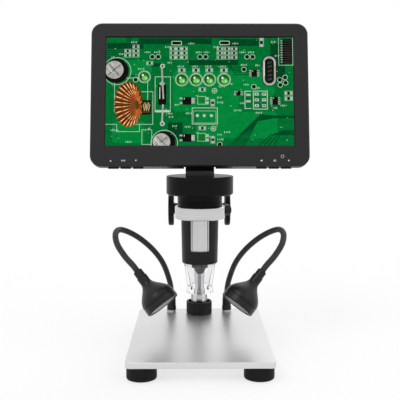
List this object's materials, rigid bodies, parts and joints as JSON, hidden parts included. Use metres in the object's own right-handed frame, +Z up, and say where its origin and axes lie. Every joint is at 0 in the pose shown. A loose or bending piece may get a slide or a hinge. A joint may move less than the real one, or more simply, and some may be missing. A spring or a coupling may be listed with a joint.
{
  "type": "lcd digital microscope",
  "caption": "Stand microscope with a tilting monitor on a ring-held barrel, rack and pinion focus on a fluted column, satin base plate and two gooseneck lamps.",
  "frame": {"origin": "on the table under the middle of the whole, 1.9 mm behind the middle of the plate", "axes": "+Z up, +X to the right seen from the front, +Y to the back, where the column stands"},
  "size_m": [0.1776, 0.1638, 0.2756],
  "materials": {
    "satin_plate": "satin anodised",
    "bright_column": "bright drawn",
    "silver_arm": "turned and milled, clear anodised",
    "steel": "plated",
    "black_screw": "black oxide",
    "rubber": "moulded",
    "black_plastic": "moulded, satin",
    "black_shell": "fine texture",
    "gloss_black": "polished",
    "head_metal": "black anodised",
    "nylon": "moulded",
    "bronze": "sintered",
    "board": "solder mask",
    "drum_metal": "fluted",
    "clear_shroud": "clear acrylic",
    "lens_glass": "polished",
    "screen_glass": "gloss",
    "led_white": "moulded",
    "battery_wrap": "shrink wrap",
    "gooseneck": "sleeved steel coil"
  },
  "bodies": {
    "base": {"base_plate": "satin_plate", "rubber_feet": "rubber", "base_screws": "steel", "column": "bright_column", "column_bolt": "steel", "column_collar": "black_plastic", "rack": "steel", "lamp_sockets": "steel", "control_box": "black_plastic", "control_board": "board", "power_ports": "steel"},
    "dimmer": {"dimmer_wheel": "black_plastic"},
    "carriage": {"carriage_block": "silver_arm", "carriage_bushes": "bronze", "support_arm": "silver_arm", "arm_screw": "black_screw"},
    "clamp_screw": {"ring_screw": "black_screw"},
    "lock": {"lock_knob": "black_plastic"},
    "focus_drive": {"focus_shaft": "steel", "pinion": "steel", "focus_knobs": "black_plastic"},
    "microscope": {"head_housing": "head_metal", "head_cap": "head_metal", "hinge_neck": "black_plastic", "neck_bolts": "steel", "neck_sleeve": "head_metal", "barrel": "black_plastic", "sensor_board": "board", "led_ring": "led_white", "shroud": "clear_shroud"},
    "zoom_ring": {"zoom_drum": "drum_metal"},
    "lens_group": {"lens_carrier": "black_plastic", "lens_glasses": "lens_glass"},
    "monitor": {"front_bezel": "black_shell", "rear_cover": "black_shell", "screen_glass": "screen_glass", "lcd_panel": "steel", "circuit_boards": "board", "battery_pack": "battery_wrap", "battery_door": "black_shell", "cover_screws": "black_screw", "hinge_pin": "steel", "side_ports": "steel"},
    "left_lamp": {"left_ferrule": "gloss_black", "left_gooseneck": "gooseneck", "left_lamp_shell": "gloss_black", "left_lamp_board": "led_white", "left_lamp_lens": "lens_glass"},
    "right_lamp": {"right_ferrule": "gloss_black", "right_gooseneck": "gooseneck", "right_lamp_shell": "gloss_black", "right_lamp_board": "led_white", "right_lamp_lens": "lens_glass"},
    "key_1": {"button_1": "black_plastic"},
    "key_2": {"button_2": "black_plastic"},
    "key_3": {"button_3": "black_plastic"},
    "key_4": {"button_4": "black_plastic"},
    "key_5": {"button_5": "black_plastic"},
    "key_6": {"button_6": "black_plastic"}
  },
  "joints": [
    {"name": "focus_slide", "type": "slide", "parent": "base", "child": "carriage", "axis": [0, 0, 1], "range_m": [-0.034, 0.036]},
    {"name": "focus_turn", "type": "hinge", "parent": "carriage", "child": "focus_drive", "pos_m": [0, 0.05194, 0.1167], "axis": [1, 0, 0], "range_deg": [-460, 435]},
    {"name": "lock_turn", "type": "hinge", "parent": "carriage", "child": "lock", "pos_m": [0, 0.0743, 0.1177], "axis": [0, 1, 0], "range_deg": [0, 270]},
    {"name": "clamp_turn", "type": "hinge", "parent": "carriage", "child": "clamp_screw", "pos_m": [0, -0.011, 0.1207], "axis": [0.8192, 0.5736, 0], "range_deg": [0, 360]},
    {"name": "head_swivel", "type": "hinge", "parent": "carriage", "child": "microscope", "pos_m": [0, -0.011, 0.1156], "axis": [0, 0, 1], "range_deg": [-40, 40]},
    {"name": "zoom_turn", "type": "hinge", "parent": "microscope", "child": "zoom_ring", "pos_m": [0, -0.011, 0.0885], "axis": [0, 0, 1], "range_deg": [0, 300]},
    {"name": "lens_slide", "type": "slide", "parent": "microscope", "child": "lens_group", "axis": [0, 0, 1], "range_m": [0, 0.01]},
    {"name": "monitor_tilt", "type": "hinge", "parent": "microscope", "child": "monitor", "pos_m": [0, -0.00911, 0.1705], "axis": [1, 0, 0], "range_deg": [-33, 12]},
    {"name": "dimmer_turn", "type": "hinge", "parent": "base", "child": "dimmer", "pos_m": [0.0144, 0.0695, 0.0056], "axis": [0, 0, 1], "range_deg": [0, 270]},
    {"name": "left_lamp_turn", "type": "hinge", "parent": "base", "child": "left_lamp", "pos_m": [-0.0263, 0.0706, 0.0173], "axis": [0, 0, 1], "range_deg": [-60, 3]},
    {"name": "right_lamp_turn", "type": "hinge", "parent": "base", "child": "right_lamp", "pos_m": [0.0263, 0.0706, 0.0173], "axis": [0, 0, 1], "range_deg": [-3, 60]},
    {"name": "key_1_press", "type": "slide", "parent": "monitor", "child": "key_1", "axis": [0, 0.2079, 0.9781], "range_m": [0, 0.0007], "stiffness_N_per_m": 600, "springref_m": -0.0003},
    {"name": "key_2_press", "type": "slide", "parent": "monitor", "child": "key_2", "axis": [0, 0.2079, 0.9781], "range_m": [0, 0.0007], "stiffness_N_per_m": 600, "springref_m": -0.0003},
    {"name": "key_3_press", "type": "slide", "parent": "monitor", "child": "key_3", "axis": [0, 0.2079, 0.9781], "range_m": [0, 0.0007], "stiffness_N_per_m": 600, "springref_m": -0.0003},
    {"name": "key_4_press", "type": "slide", "parent": "monitor", "child": "key_4", "axis": [0, 0.2079, 0.9781], "range_m": [0, 0.0007], "stiffness_N_per_m": 600, "springref_m": -0.0003},
    {"name": "key_5_press", "type": "slide", "parent": "monitor", "child": "key_5", "axis": [0, 0.2079, 0.9781], "range_m": [0, 0.0007], "stiffness_N_per_m": 600, "springref_m": -0.0003},
    {"name": "key_6_press", "type": "slide", "parent": "monitor", "child": "key_6", "axis": [0, 0.2079, 0.9781], "range_m": [0, 0.0007], "stiffness_N_per_m": 600, "springref_m": -0.0003}
  ],
  "couplings": [
    {"joint": "focus_turn", "follows": "focus_slide", "rad_per_m": -222.22},
    {"joint": "zoom_turn", "follows": "lens_slide", "rad_per_m": 523.56}
  ]
}
